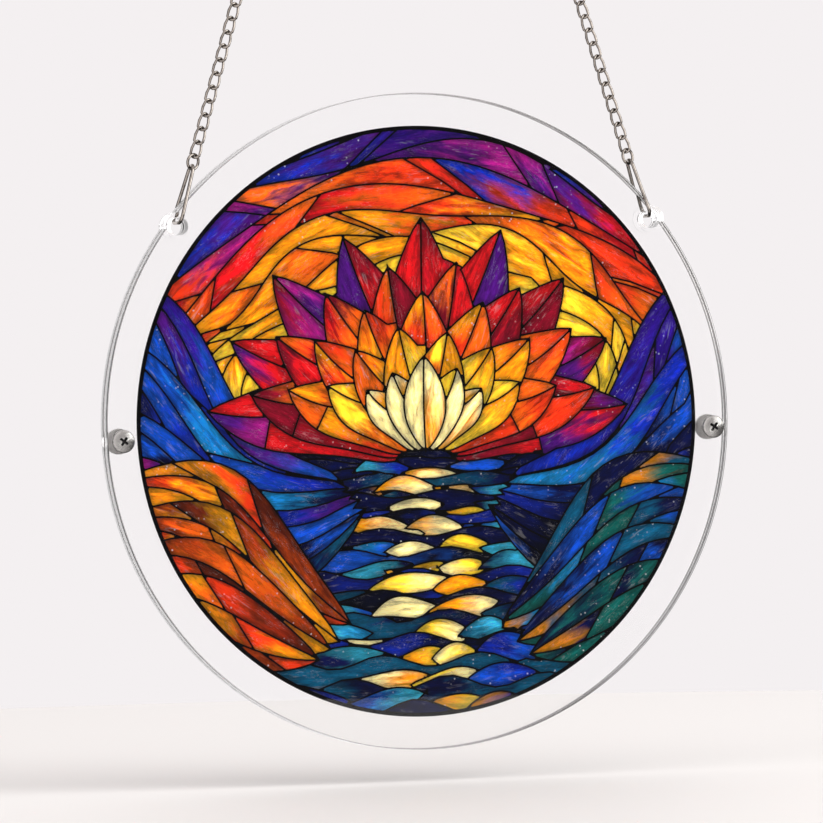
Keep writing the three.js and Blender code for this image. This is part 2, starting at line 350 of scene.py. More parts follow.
def mix_colour(tree, factor, first, second, blend="MIX"):
    made = node(tree, "ShaderNodeMix", data_type="RGBA", blend_type=blend)
    # The node's first input is the factor, and its colour inputs come seventh and eighth
    for number, value in ((0, factor), (6, first), (7, second)):
        if isinstance(value, bpy.types.NodeSocket):
            tree.links.new(value, made.inputs[number])
        else:
            made.inputs[number].default_value = value
    return made.outputs[2]


def grey(tree, value):
    return node(tree, "ShaderNodeCombineColor", {0: value, 1: value, 2: value}).outputs[0]


def shaded(tree, colour, amount):
    """A colour made darker or lighter by a number."""
    return mix_colour(tree, 1.0, colour, grey(tree, amount), "MULTIPLY")


def scaled(tree, vector, scale):
    return node(
        tree, "ShaderNodeVectorMath", {0: vector, 1: scale}, operation="MULTIPLY"
    ).outputs[0]


def noise(tree, vector, scale=1.0, detail=3.0, roughness=0.55, distortion=0.0):
    return node(
        tree,
        "ShaderNodeTexNoise",
        {
            "Vector": vector, "Scale": scale, "Detail": detail, "Roughness": roughness,
            "Distortion": distortion,
        },
    ).outputs["Fac"]


def attribute(tree, name, output="Fac"):
    return node(tree, "ShaderNodeAttribute", attribute_name=name).outputs[output]


def object_position(tree):
    return node(tree, "ShaderNodeTexCoord").outputs["Object"]


def fine_bump(tree, shader, height, strength, distance):
    bump = node(tree, "ShaderNodeBump", {"Height": height, "Strength": strength, "Distance": distance})
    tree.links.new(bump.outputs["Normal"], shader.inputs["Normal"])


# Values of the plates' attribute "cut"
ROUNDED_EDGE = -1.0
FLAT_FACE = 0.0
HOLE_WALL = 0.6
RIM_WALL = 1.0


def acrylic_material(tint, edge_shade_tint):
    """Clear cast acrylic: polished faces with the faintest haze, a painted glow on the rim walls
    and faintly on the hole walls (emission that stands in for the light the plate carries to
    them), and rounded edges tinted grey as painted shade for the dark lines seen along them."""
    material, tree, shader = new_material("clear_acrylic")
    shader.inputs["Transmission Weight"].default_value = 1
    shader.inputs["IOR"].default_value = 1.49
    cut = attribute(tree, "cut")
    # Painted shade: the rounded edges take the grey edge tint, which stands in for the dark lines seen along
    # them
    tone = mix_colour(tree, spread(tree, cut, -0.9, -0.5, 1, 0), (*tint, 1), (*edge_shade_tint, 1))
    tree.links.new(tone, shader.inputs["Base Color"])
    # Painted glow: emission on the rim walls, and faintly on the hole walls, stands in for the light that
    # the plate carries to them
    painted_glow = grey(tree, spread(tree, cut, 0.5, 0.9, 0.0, 0.26))
    tree.links.new(painted_glow, shader.inputs["Emission Color"])
    shader.inputs["Emission Strength"].default_value = 1
    haze = noise(tree, object_position(tree), scale=38, detail=4)
    rough = math_node(tree, "ADD", spread(tree, haze, 0.45, 0.75, 0.0, 0.035),
                      spread(tree, math_node(tree, "ABSOLUTE", cut), 0.1, 0.9, 0.0, 0.12))
    tree.links.new(rough, shader.inputs["Roughness"])
    return material


def wire_material(colour):
    """Bright nickel plate, a little uneven, with fine scuffs and thin spots."""
    material, tree, shader = new_material("nickel_plate")
    shader.inputs["Metallic"].default_value = 1
    place = object_position(tree)
    uneven = noise(tree, place, scale=420, detail=3)
    scuffs = noise(tree, scaled(tree, place, (1, 1, 0.3)), scale=2600, detail=2)
    dull = tuple(0.55 * part for part in colour)
    tone = mix_colour(tree, spread(tree, uneven, 0.4, 0.75), (*colour, 1), (*dull, 1))
    tree.links.new(tone, shader.inputs["Base Color"])
    rough = math_node(tree, "ADD", spread(tree, uneven, 0.3, 0.7, 0.06, 0.15),
                      spread(tree, scuffs, 0.55, 0.8, 0.0, 0.12))
    tree.links.new(rough, shader.inputs["Roughness"])
    fine_bump(tree, shader, scuffs, 0.12, 0.02 * MM)
    return material


# Colour of the painted shade on turned steel
PAINTED_SHADE_STEEL = (0.012, 0.012, 0.013)


def turned_material(name, colour, metallic, polish, stretch):
    """Turned steel: fine rings left by the tool round each piece's own axis, with a sheen drawn
    out across them, and painted shade where a piece marks it: down in a screw's cross recess
    and at its head's outer edge."""
    material, tree, shader = new_material(name)
    shader.inputs["Metallic"].default_value = metallic
    shader.inputs["Anisotropic"].default_value = stretch
    lathe = attribute(tree, "lathe", "Vector")
    tree.links.new(lathe, shader.inputs["Tangent"])
    around = node(tree, "ShaderNodeVectorMath", {0: lathe}, operation="LENGTH").outputs["Value"]
    rings = node(
        tree, "ShaderNodeTexWave",
        {"Vector": node(tree, "ShaderNodeCombineXYZ", {0: around}).outputs[0], "Scale": 1.6,
         "Distortion": 1.0, "Detail": 2.0, "Detail Scale": 2.0},
        wave_profile="SIN",
    ).outputs["Fac"]
    stains = noise(tree, lathe, scale=0.8, detail=4)
    dull = tuple(0.8 * part for part in colour)
    tone = mix_colour(tree, spread(tree, stains, 0.5, 0.75), (*colour, 1), (*dull, 1))
    # Painted shade: darkens the steel where the piece marks it, down in the cross recess and at the head's
    # outer edge
    tone = mix_colour(tree, attribute(tree, "painted_shade"), tone, (*PAINTED_SHADE_STEEL, 1))
    tree.links.new(tone, shader.inputs["Base Color"])
    tree.links.new(spread(tree, stains, 0.35, 0.75, *polish), shader.inputs["Roughness"])
    fine_bump(tree, shader, rings, 0.55, 0.03 * MM)
    return material


def grain_noise(tree, grain, stretch, **settings):
    """Noise that is drawn out along each pane's own grain."""
    return noise(tree, scaled(tree, grain, stretch), **settings)


def streaked_glass(tree, grain):
    """Panes that fade along their length in drawn-out swirls, with darker and lighter streaks."""
    streaks = grain_noise(tree, grain, (0.09, 0.45, 1), detail=5, distortion=0.8)
    cloud = grain_noise(tree, grain, (0.1, 0.22, 1), detail=2)
    swirl = math_node(tree, "ADD", product(tree, streaks, 2.6), product(tree, cloud, 1.8))
    shift = spread(tree, math_node(tree, "ADD", attribute(tree, "fade"), swirl), 1.5, 2.9)
    first = attribute(tree, "pane", "Color")
    second = attribute(tree, "pane_two", "Color")
    glass = mix_colour(tree, shift, first, second)
    glass = shaded(tree, glass, spread(tree, streaks, 0.3, 0.7, 0.62, 2.1, soft=False))
    ripple = grain_noise(tree, grain, (0.35, 1.5, 1), detail=3, distortion=1.5)
    return shaded(tree, glass, spread(tree, ripple, 0.3, 0.7, 0.82, 1.35))


def with_wisps(tree, grain, glass):
    """The glass with pale wisps and thin bright threads."""
    gather = grain_noise(tree, grain, (0.08, 0.13, 2.7), detail=1)
    wisps = grain_noise(tree, grain, (0.12, 0.62, 1.3), detail=4, distortion=1.6)
    pale = product(tree, spread(tree, wisps, 0.56, 0.7), spread(tree, gather, 0.46, 0.62))
    threads = grain_noise(tree, grain, (0.17, 0.8, 3.3), detail=2, distortion=2.2)
    crest = math_node(tree, "ABSOLUTE", math_node(tree, "SUBTRACT", threads, 0.5))
    thin = spread(tree, crest, 0.004, 0.016, 1, 0)
    where = spread(tree, grain_noise(tree, grain, (0.14, 0.2, 4.9), detail=2), 0.5, 0.62)
    threaded = product(tree, product(tree, thin, where), 0.35)
    bright = math_node(tree, "MAXIMUM", product(tree, pale, 0.42), threaded)
    lifted = mix_colour(tree, 0.7, glass, (1, 1, 1, 1), "SCREEN")
    return mix_colour(tree, bright, glass, lifted)


def with_sparkles(tree, grain, reach, glass):
    """The glass with small bright specks in loose drifts, most of them near the lead lines."""
    spots = scaled(tree, grain, (0.8, 0.8, 0))
    cells = node(tree, "ShaderNodeTexVoronoi", {"Vector": spots, "Scale": 1.0})
    pick = node(tree, "ShaderNodeSeparateColor", {0: cells.outputs["Color"]}).outputs[0]
    speck = spread(tree, cells.outputs["Distance"], 0.12, 0.26, 1, 0)
    chosen = spread(tree, pick, 0.58, 0.6)
    adrift = spread(tree, grain_noise(tree, grain, (0.06, 0.1, 5.1), detail=2), 0.5, 0.62)
    drifts = product(tree, adrift, spread(tree, reach, 0.5, 3.0, 1, 0.25))
    sparkle = product(tree, product(tree, speck, chosen), drifts)
    return mix_colour(tree, product(tree, sparkle, 0.9), glass, (0.92, 0.96, 1, 1))


LEAD_SOFTNESS = 0.06  # millimetres, each side of a lead line's edge
LIGHT_THROUGH = 0.4  # share of the light that the print lets through


def print_material(lead, lead_width):
    """Printed stained glass: streaked panes with wisps and sparkle, and black lead lines."""
    material, tree, shader = new_material("stained_print")
    grain = attribute(tree, "grain", "Vector")
    reach = attribute(tree, "lead")
    glass = with_wisps(tree, grain, streaked_glass(tree, grain))

    # A pane is deeper in colour beside its lead
    glass = shaded(tree, glass, spread(tree, reach, 0.2, 1.6, 0.6, 1.0))
    glass = with_sparkles(tree, grain, reach, glass)

    half = lead_width / MM / 2
    line = spread(tree, reach, half - LEAD_SOFTNESS, half + LEAD_SOFTNESS, 1, 0)
    tone = mix_colour(tree, line, glass, (*lead, 1))
    tree.links.new(tone, shader.inputs["Base Color"])
    shader.inputs["Roughness"].default_value = 0.3
    shader.inputs["Specular IOR Level"].default_value = 0.1
    through = node(tree, "ShaderNodeBsdfTranslucent", {"Color": tone})
    both = node(tree, "ShaderNodeMixShader", {0: LIGHT_THROUGH, 1: shader.outputs[0], 2: through.outputs[0]})
    tree.links.new(both.outputs[0], tree.nodes["Material Output"].inputs["Surface"])
    return material


# The printed picture: a water flower over ripples, in a disc of radius 1, x right and z up.
# Later panes lie over earlier ones.

PALE, YELLOW, AMBER, GOLD = "fff6bd", "ffe13c", "ffb80f", "e79a12"
ORANGE, VERMILION, RED, CRIMSON = "f57a12", "ea4414", "dc1620", "960a2a"
MAGENTA, PURPLE, VIOLET = "b81c96", "5c128e", "35119c"
BLUE, COBALT, NAVY, INK = "0f2fb4", "0f5ccc", "050f4c", "020620"
TEAL, SKY, AQUA, GREEN = "086084", "1792cc", "3fc0dc", "0d6a62"
RUST, BROWN = "b2430c", "6a2208"
FLOWER_ROOT = (0.02, -0.10)
PICTURE_SEED = 7


class Pane:
    """One pane of the picture: its outline and the two colours that it fades between."""

    def __init__(self, outline, first, second):
        self.outline = np.array(outline)
        self.first = linear(first)
        self.second = linear(second)


def leaf_point(root, turn, length, width, bend, fullness, along, across):
    """A point of a leaf: along runs 0 to 1 from root to tip, across -1 to 1."""
    sway = bend * (math.sin(math.pi * along) + 0.45 * math.sin(2 * math.pi * along))
    half = width / 2 * max(0.0, math.sin(math.pi * along**fullness)) ** 0.8
    x = length * along
    z = length * sway + half * across
    return (
        root[0] + x * math.cos(turn) - z * math.sin(turn),
        root[1] + x * math.sin(turn) + z * math.cos(turn),
    )


def leaf(root, turn, length, width, bend, fullness, ribs=(), cuts=(), slant=0.0, stagger=0.0):
    """Outlines of a leaf's panes: strips between its ribs, cut across at the given places."""
    edges = [-1.0, *ribs, 1.0]
    outlines = []
    for strip, (low, high) in enumerate(zip(edges, edges[1:])):
        shift = stagger * (strip - (len(edges) - 2) / 2)
        marks = [0.0, *(cut + shift for cut in cuts), 1.0]
        for part, (start, end) in enumerate(zip(marks, marks[1:])):

            def side(across):
                first = start + slant * across if part else start
                last = end + slant * across if part < len(marks) - 2 else end
                steps = max(4, round(20 * (last - first)))
                return [
                    leaf_point(root, turn, length, width, bend, fullness,
                               first + (last - first) * k / steps, across)
                    for k in range(steps + 1)
                ]

            outlines.append(side(low) + side(high)[::-1])
    return outlines


def along_ramp(ramp, place, rng, loose=0.0):
    """The colour name of the band that a place falls in."""
    place += rng.uniform(-loose, loose)
    for limit, colour in ramp:
        if place < limit:
            return colour
    return ramp[-1][1]


def sky_panes(rng):
    """Wavy bands round the flower, which pinch each other into long pointed panes."""
    ramp = [
        (0.76, YELLOW), (0.88, AMBER), (0.98, ORANGE), (1.04, VERMILION), (1.09, RED),
        (1.13, MAGENTA), (1.17, PURPLE), (1.21, VIOLET), (1.26, BLUE), (9, VIOLET),
    ]
    bands = 13
    outermost = 1.33
    band_step = 0.072
    panes = []
    for k in range(bands):
        radius = outermost - band_step * k
        waves = rng.choice((5, 6, 7, 8))
        phase = rng.uniform(0, 2 * math.pi)
        height = rng.uniform(0.030, 0.046)

        def on_line(angle, share=1.0):
            size = share * (radius + height * math.sin(waves * angle + phase))
            return (FLOWER_ROOT[0] + 1.08 * size * math.cos(angle),
                    FLOWER_ROOT[1] + 0.92 * size * math.sin(angle))

        ring = [on_line(math.radians(3 * i)) for i in range(120)]
        panes.append(Pane(ring, along_ramp(ramp, radius, rng, 0.05), along_ramp(ramp, radius, rng, 0.1)))
        count = 8 if radius > 0.8 else 7
        width = math.radians(215 / count)
        start = math.radians(-17) + rng.uniform(0, width)
        slant = rng.choice((-1, 1)) * math.radians(rng.uniform(38, 60))
        for i in range(count):
            low = start + i * width + rng.uniform(-0.12, 0.12)
            outer = [on_line(low + width * j / 16) for j in range(17)]
            far_side = [on_line(low + width + slant * t**1.4, 1 - 0.3 * t) for t in (0.25, 0.5, 0.75, 1)]
            near_side = [on_line(low + slant * t**1.4, 1 - 0.3 * t) for t in (1, 0.75, 0.5, 0.25)]
            panes.append(Pane(outer + far_side + near_side, along_ramp(ramp, radius, rng, 0.1),
                              along_ramp(ramp, radius, rng, 0.18)))
    return panes


def water_panes(rng):
    """Ripples, smaller towards the flower, with its light on them."""
    panes = []
    rows = 14
    for k in range(rows):
        share = k / (rows - 1)
        z = FLOWER_ROOT[1] - 0.02 - 0.93 * share**1.15
        step = 0.036 + 0.05 * share
        band = [
            (x / 20, z + step + 0.28 * step * math.sin(0.9 * x + 2.1 * k)) for x in range(-22, 23)
        ]
        ground = rng.choice([NAVY, BLUE, TEAL, NAVY, COBALT])
        panes.append(Pane(band + [(1.1, -1.2), (-1.1, -1.2)], ground, rng.choice([INK, NAVY, TEAL])))
        x = -1.12 + rng.uniform(0, 0.15)
        glow_width = 0.13 + 0.13 * share
        while x < 1.08:
            aside = min(1.0, abs(x - FLOWER_ROOT[0]) / 0.6)
            length = (0.17 + 0.07 * share + 0.18 * aside) * rng.uniform(0.85, 1.25)
            centre = abs(x + length / 2 - FLOWER_ROOT[0])
            root = (x, z + rng.uniform(-0.012, 0.012))
            x += 0.74 * length
            if centre < glow_width * rng.uniform(0.7, 1.1):
                first, second = rng.choice([PALE, YELLOW, PALE, AMBER]), rng.choice([PALE, AMBER, YELLOW])
            elif centre < 2.1 * glow_width:
                first = rng.choice([SKY, COBALT, AQUA, GOLD, TEAL, BLUE])
                second = rng.choice([COBALT, NAVY, AQUA, BLUE])
            else:
                first = rng.choice([NAVY, BLUE, COBALT, TEAL, INK, SKY, VIOLET, NAVY])
                second = rng.choice([NAVY, INK, BLUE, TEAL, SKY])
            for outline in leaf(root, math.radians(rng.uniform(-8, 8)), length,
                                step * rng.uniform(1.1, 1.5), rng.uniform(-0.1, 0.1), 1.0):
                panes.append(Pane(outline, first, second))
    return panes


def blade_panes(rng):
    """Long curved blades that sweep out and up on both sides."""
    plan = [
        # out from the middle, height, lean from upright, length, width, bend, colours
        (0.30, -0.10, 47, 1.06, 0.26, 0.15, (VIOLET, PURPLE, BLUE, COBALT)),
        (0.28, -0.12, 58, 1.08, 0.26, 0.16, (NAVY, BLUE, COBALT, SKY)),
        (0.26, -0.14, 69, 1.06, 0.25, 0.16, (SKY, COBALT, NAVY, TEAL)),
        (0.24, -0.16, 80, 1.02, 0.24, 0.15, (NAVY, PURPLE, BLUE, MAGENTA)),
        (0.22, -0.19, 91, 1.00, 0.23, 0.13, (INK, NAVY, TEAL, COBALT)),
    ]
    panes = []
    for side in (-1, 1):
        for out, height, lean, length, width, bend, tones in plan:
            turn = math.radians(90 - side * lean + rng.uniform(-3, 3))
            cuts = (0.55 + rng.uniform(-0.06, 0.06),)
            root = (FLOWER_ROOT[0] + side * out, FLOWER_ROOT[1] + height)
            for outline in leaf(root, turn, length, width, -side * bend, 0.8, (-0.34, 0.3), cuts,
                                0.26, side * 0.05):
                panes.append(Pane(outline, rng.choice(tones), rng.choice(tones)))
    return panes


def flower_panes(rng):
    """Five rows of pointed petals, pale in front and dark behind."""
    rows = [
        # petals, spread each side in degrees, length, width, fullness, colours
        (9, 78, 0.80, 0.31, 0.75, (CRIMSON, MAGENTA, RED, PURPLE, RED)),
        (8, 70, 0.67, 0.28, 0.80, (RED, VERMILION, CRIMSON, ORANGE)),
        (7, 63, 0.54, 0.24, 0.85, (ORANGE, VERMILION, AMBER, ORANGE)),
        (6, 52, 0.42, 0.20, 0.90, (AMBER, YELLOW, ORANGE)),
        (5, 38, 0.31, 0.15, 0.95, (YELLOW, PALE, AMBER, PALE)),
    ]
    panes = []
    for petals, spread_each, length, width, fullness, tones in rows:
        middle = (petals - 1) / 2
        for i in sorted(range(petals), key=lambda i: -abs(i - middle)):
            lean = spread_each * (i - middle) / middle
            bend = 0.10 * lean / spread_each
            reach = length * (1 - 0.12 * abs(lean) / spread_each) * rng.uniform(0.96, 1.04)
            cuts = (0.6 + rng.uniform(-0.05, 0.05),) if length > 0.5 else ()
            ribs = (rng.uniform(-0.12, 0.12),)
            root = (FLOWER_ROOT[0] + 0.07 * math.sin(math.radians(lean)), FLOWER_ROOT[1])
            for outline in leaf(root, math.radians(90 - lean), reach, width, bend,
                                fullness, ribs, cuts, 0.0, 0.1):
                panes.append(Pane(outline, rng.choice(tones), rng.choice(tones)))
    return panes


def bank_panes(rng):
    """Broad leaves over the water, gold and rust on the left, teal and green on the right."""
    warm = (RUST, ORANGE, GOLD, BROWN, AMBER, VERMILION)
    cool = (TEAL, GREEN, COBALT, SKY, NAVY, GREEN)
    panes = []
    for side, tones in ((-1, warm), (1, cool)):
        for k in range(4):
            turn = math.radians(-29 + 5 * k + rng.uniform(-2, 2))
            if side > 0:
                turn = math.pi - turn
            root = (side * 1.14, -0.20 - 0.13 * k)
            cuts = (0.4 + rng.uniform(-0.04, 0.04), 0.66 + rng.uniform(-0.03, 0.03))
            for outline in leaf(root, turn, 1.0 - 0.07 * k, 0.25, -side * (0.13 - 0.02 * k), 1.1,
                                (-0.36, 0.3), cuts, side * 0.2, side * 0.03):
                extra = GOLD if side > 0 and rng.random() < 0.2 else rng.choice(tones)
                panes.append(Pane(outline, extra, rng.choice(tones)))
    return panes


def picture_panes():
    rng = random.Random(PICTURE_SEED)
    return sky_panes(rng) + water_panes(rng) + blade_panes(rng) + flower_panes(rng) + bank_panes(rng)


# From the picture's outlines to a mesh

OUTSIDE = -1
SAME_POINT = 1e-3  # millimetres
LEAST_AREA = 7  # square millimetres, of a pane
LEAST_WIDTH = 0.75  # millimetres, of a pane, as its area over half its outline
MERGE_ROUNDS = 5
CIRCLE_STEPS = 240
FAR_OUTSIDE = 1.02  # times the film's radius
SAMPLE_STEP = 0.2  # millimetres along a lead line, for measuring the way to it
BESIDE_STEP = 0.8  # millimetres along a lead line, between the points on both its sides
GRAIN_SEED = 11


def inside_outline(points, outline):
    """Which points lie inside a closed outline, by counting crossings."""
    start = outline
    end = np.roll(outline, -1, axis=0)
    x = points[:, 0:1]
    z = points[:, 1:2]
    crosses = (start[:, 1] > z) != (end[:, 1] > z)
    rise = np.where(end[:, 1] == start[:, 1], 1e-12, end[:, 1] - start[:, 1])
    reach = (end[:, 0] - start[:, 0]) * (z - start[:, 1]) / rise + start[:, 0]
    return (crosses & (x < reach)).sum(axis=1) % 2 == 1


def owning_panes(points, outlines, radius, border):
    """The number of the pane on top at each point. The black border has the last number."""
    owner = np.full(len(points), OUTSIDE)
    from_middle = np.hypot(points[:, 0], points[:, 1])
    owner[from_middle > radius - border] = len(outlines)
    owner[from_middle > radius] = OUTSIDE
    open_points = np.flatnonzero(from_middle <= radius - border)
    for number in range(len(outlines) - 1, -1, -1):
        outline = outlines[number]
        here = points[open_points]
        near = np.all((here >= outline.min(0)) & (here <= outline.max(0)), axis=1)
        candidates = open_points[near]
        if len(candidates):
            owner[candidates[inside_outline(points[candidates], outline)]] = number
            open_points = open_points[owner[open_points] == OUTSIDE]
    return owner


class PointTable:
    """Points in millimetres, each kept once."""

    def __init__(self):
        self.points = []
        self.numbers = {}

    def add(self, point):
        key = (round(point[0] / SAME_POINT), round(point[1] / SAME_POINT))
        if key not in self.numbers:
            self.numbers[key] = len(self.points)
            self.points.append((float(point[0]), float(point[1])))
        return self.numbers[key]


def triangulate(points, edges):
    """A mesh on the points and edges, with the set of its edges that lie on the given ones."""
    made = delaunay_2d_cdt([Vector(point) for point in points], edges, [], 0, 1e-6, True)
    corners = np.array([(v.x, v.y) for v in made[0]])
    triangles = np.array([face for face in made[2] if len(face) == 3])
    given = {tuple(sorted(edge)) for edge, origin in zip(made[1], made[4]) if origin}
    return corners, triangles, given


def triangles_by_edge(triangles):
    """Each edge, with the numbers of the triangles beside it."""
    beside = {}
    for number, triangle in enumerate(triangles.tolist()):
        for edge in zip(triangle, triangle[1:] + triangle[:1]):
            beside.setdefault(tuple(sorted(edge)), []).append(number)
    return beside


def groups(count, pairs):
    """A group number for each of count things, where the given pairs belong together."""
    leader = list(range(count))

    def leader_of(number):
        while leader[number] != number:
            leader[number] = leader[leader[number]]
            number = leader[number]
        return number

    for first, second in pairs:
        leader[leader_of(first)] = leader_of(second)
    return np.array([leader_of(number) for number in range(count)])


def merge_scraps(corners, triangles, owner, border_number):
    """Gives scraps that are too small or thin to the neighbour with the longest shared line."""
    beside = triangles_by_edge(triangles)
    a, b, c = (corners[triangles[:, i]] for i in range(3))
    areas = np.abs((b - a)[:, 0] * (c - a)[:, 1] - (b - a)[:, 1] * (c - a)[:, 0]) / 2
    for _ in range(MERGE_ROUNDS):
        pairs = [pair for pair in beside.values() if len(pair) == 2 and owner[pair[0]] == owner[pair[1]]]
        group = groups(len(triangles), pairs)
        group_area = np.bincount(group, areas, len(triangles))
        shared = {}
        for edge, pair in beside.items():
            if len(pair) == 2 and group[pair[0]] != group[pair[1]]:
                length = float(np.hypot(*(corners[edge[0]] - corners[edge[1]])))
                for here, there in (pair, pair[::-1]):
                    lines = shared.setdefault(int(group[here]), {})
                    lines[int(group[there])] = lines.get(int(group[there]), 0) + length
        scraps = []
        for number, lines in shared.items():
            area = group_area[number]
            width = 2 * area / sum(lines.values())
            if 0 <= owner[number] < border_number and (area < LEAST_AREA or width < LEAST_WIDTH):
                scraps.append((area, number))
        for area, number in sorted(scraps):
            near = [(length, other) for other, length in shared[number].items()
                    if 0 <= owner[other] < border_number]
            if near:
                owner[group == number] = owner[max(near)[1]]
        if not scraps:
            break
    return owner


def picture_lines(outlines, radius, border):
    """The first mesh: its corners, triangles, owning panes, and the edges between two panes."""
    table = PointTable()
    edges = set()

    def add_loop(loop):
        numbers = [table.add(point) for point in loop]
        for first, second in zip(numbers, numbers[1:] + numbers[:1]):
            if first != second:
                edges.add((min(first, second), max(first, second)))

    angles = [math.radians(360 / CIRCLE_STEPS * i) for i in range(CIRCLE_STEPS)]
    for size in (radius, radius - border):
        add_loop([(size * math.cos(angle), size * math.sin(angle)) for angle in angles])
    for outline in outlines:
        add_loop(outline)
    points = np.array(table.points)
    beyond = np.hypot(points[:, 0], points[:, 1]) > radius * FAR_OUTSIDE
    kept = [edge for edge in edges if not (beyond[edge[0]] and beyond[edge[1]])]
    corners, triangles, _ = triangulate(table.points, kept)
    owner = owning_panes(corners[triangles].mean(axis=1), outlines, radius, border)
    owner = merge_scraps(corners, triangles, owner, len(outlines))
    lines = [edge for edge, pair in triangles_by_edge(triangles).items()
             if len(pair) == 2 and owner[pair[0]] != owner[pair[1]]]
    return corners, triangles, owner, lines


def owner_at(point, corners, owner):
    """The owner of the triangle that holds a point."""
    inside = np.ones(len(corners), bool)
    for i in range(3):
        start, end = corners[:, i], corners[:, (i + 1) % 3]
        along = end - start
        inside &= along[:, 0] * (point[1] - start[:, 1]) >= along[:, 1] * (point[0] - start[:, 0])
    found = np.flatnonzero(inside)
    return int(owner[found[0]]) if len(found) else OUTSIDE


def picture_mesh(panes, radius, border, lead_width, step):
    """Corners, triangles, the region and pane of each, and distances from the lead, in mm."""
    outlines = [pane.outline * radius for pane in panes]
    corners, first_triangles, first_owner, lines = picture_lines(outlines, radius, border)
    table = PointTable()
    edges = []
    samples = []
    beside_lead = []
    for first, second in lines:
        start, end = corners[first], corners[second]
        a, b = table.add(start), table.add(end)
        if a == b:
            continue
        edges.append((a, b))
        span = end - start
        length = float(np.hypot(*span))
        count = max(1, math.ceil(length / SAMPLE_STEP))
        samples += [start + span * k / count for k in range(count + 1)]
        across = np.array((-span[1], span[0])) / length * lead_width
        parts = max(1, round(length / BESIDE_STEP))
        for k in range(parts):
            middle = start + span * (k + 0.5) / parts
            beside_lead += [middle + across, middle - across]
    on_lead = len(table.points)

    tree = KDTree(len(samples))
    for number, sample in enumerate(samples):
        tree.insert((sample[0], sample[1], 0), number)
    tree.balance()

    def clearance(point):
        return tree.find((point[0], point[1], 0))[2]

    for point in beside_lead:
        if np.hypot(*point) < radius and clearance(point) > 0.85 * lead_width:
            table.add(point)
    rows = int(radius / step) + 1
    for row in range(-rows, rows + 1):
        for column in range(-rows, rows + 1):
            point = (step * (column + 0.5 * (row % 2)), step * row * math.sqrt(0.75))
            if np.hypot(*point) < radius and clearance(point) > 1.5 * lead_width:
                table.add(point)

    points, triangles, on_lines = triangulate(table.points, edges)
    pairs = [pair for edge, pair in triangles_by_edge(triangles).items()
             if len(pair) == 2 and edge not in on_lines]
    region = groups(len(triangles), pairs)
    first_corners = corners[first_triangles]
    owner_of = {
        number: owner_at(points[triangles[number]].mean(axis=0), first_corners, first_owner)
        for number in np.unique(region).tolist()
    }
    owner = np.array([owner_of[number] for number in region.tolist()])
    inside = owner != OUTSIDE
    lead = np.array([clearance(point) for point in points])
    lead[:on_lead] = 0
    return points, triangles[inside], region[inside], owner[inside], lead


def region_frames(points, triangles, region, rng):
    """For each region: its middle, its long direction, its half length, a seed and a sign."""
    frames = {}
    for number in np.unique(region).tolist():
        used = points[triangles[region == number]].reshape(-1, 2)
        middle = used.mean(axis=0)
        direction = np.linalg.eigh(np.cov((used - middle).T))[1][:, 1]
        reach = max(0.5, float(np.abs((used - middle) @ direction).max()))
        frames[number] = (middle, direction, reach, rng.uniform(0, 100), rng.choice((-1, 1)))
    return frames


def film_mesh(name, points, triangles):
    """A closed sheet: the triangles in front, again behind, and a rim. Also counts the rim's faces."""
    count = len(points)
    half = FILM_THICKNESS / 2
    verts = [
        (FILM_MIDDLE.x + x * MM, FILM_MIDDLE.y + side * half, FILM_MIDDLE.z + z * MM)
        for side in (-1, 1) for x, z in points
    ]
    back = [[a + count, c + count, b + count] for a, b, c in triangles]
    directed = {edge for a, b, c in triangles for edge in ((a, b), (b, c), (c, a))}
    rim = [[b, a, a + count, b + count] for a, b in directed if (b, a) not in directed]
    mesh = bpy.data.meshes.new(name)
    mesh.from_pydata(verts, [], triangles + back + rim)
    return mesh, len(rim)


def paint_film(mesh, points, regions, frames, looks):
    """Gives each face's corners their place on the pane's grain, its fade and its two colours."""
    grain, fade, first, second = [], [], [], []
    for polygon, number, look in zip(mesh.polygons, regions, looks):
        middle, direction, reach, seed, sign = frames[number]
        for corner in polygon.vertices:
            x, z = points[corner]
            along = (x - middle[0]) * direction[0] + (z - middle[1]) * direction[1]
            across = (z - middle[1]) * direction[0] - (x - middle[0]) * direction[1]
            grain += (along + seed, across, seed)
            fade.append(sign * along / reach)
            first += (*look.first, 1)
            second += (*look.second, 1)
    write_attribute(mesh, "grain", "FLOAT_VECTOR", "CORNER", grain)
    write_attribute(mesh, "fade", "FLOAT", "CORNER", fade)
    write_attribute(mesh, "pane", "FLOAT_COLOR", "CORNER", first)
    write_attribute(mesh, "pane_two", "FLOAT_COLOR", "CORNER", second)


def film_object(name, settings):
    """The film as one closed sheet, both faces printed."""
    panes = picture_panes()
    points, triangles, region, owner, lead = picture_mesh(
        panes, FILM_RADIUS / MM, settings.border / MM, settings.lead_width / MM, settings.pane_step / MM
    )
    frames = region_frames(points, triangles, region, random.Random(GRAIN_SEED))
    places = points.tolist()
    mesh, rim_faces = film_mesh(name, places, triangles.tolist())

    # The border and the rim come after the last pane, and are as black as the lead lines
    black = len(panes)
    panes.append(Pane([(0, 0)], LEAD_BLACK, LEAD_BLACK))
    border_region = int(region[np.flatnonzero(owner == black)[0]])
    regions = region.tolist() * 2 + [border_region] * rim_faces
    looks = [panes[number] for number in owner.tolist() * 2 + [black] * rim_faces]
    paint_film(mesh, places * 2, regions, frames, looks)
    write_attribute(mesh, "lead", "FLOAT", "POINT", lead.tolist() * 2)
    return add_object(name, mesh)


# The stage, with brightness as a share of the backdrop's colour

BACKDROP = 1.62
BACKDROP_CENTRE = 0.72  # times the backdrop
DARK_SIDES = 0.06
BEHIND_CAMERA = 2.0
OVERHEAD = 1.5
FLAG = 0.03
FLAG_EDGES = (20, 11)  # degrees from its middle, where the dark flag starts and is full
SOFTBOX_PLACE = Vector((1.25, -0.95, 0.35))
SOFTBOX_SIZE = 1.1
SOFTBOX_POWER = 22


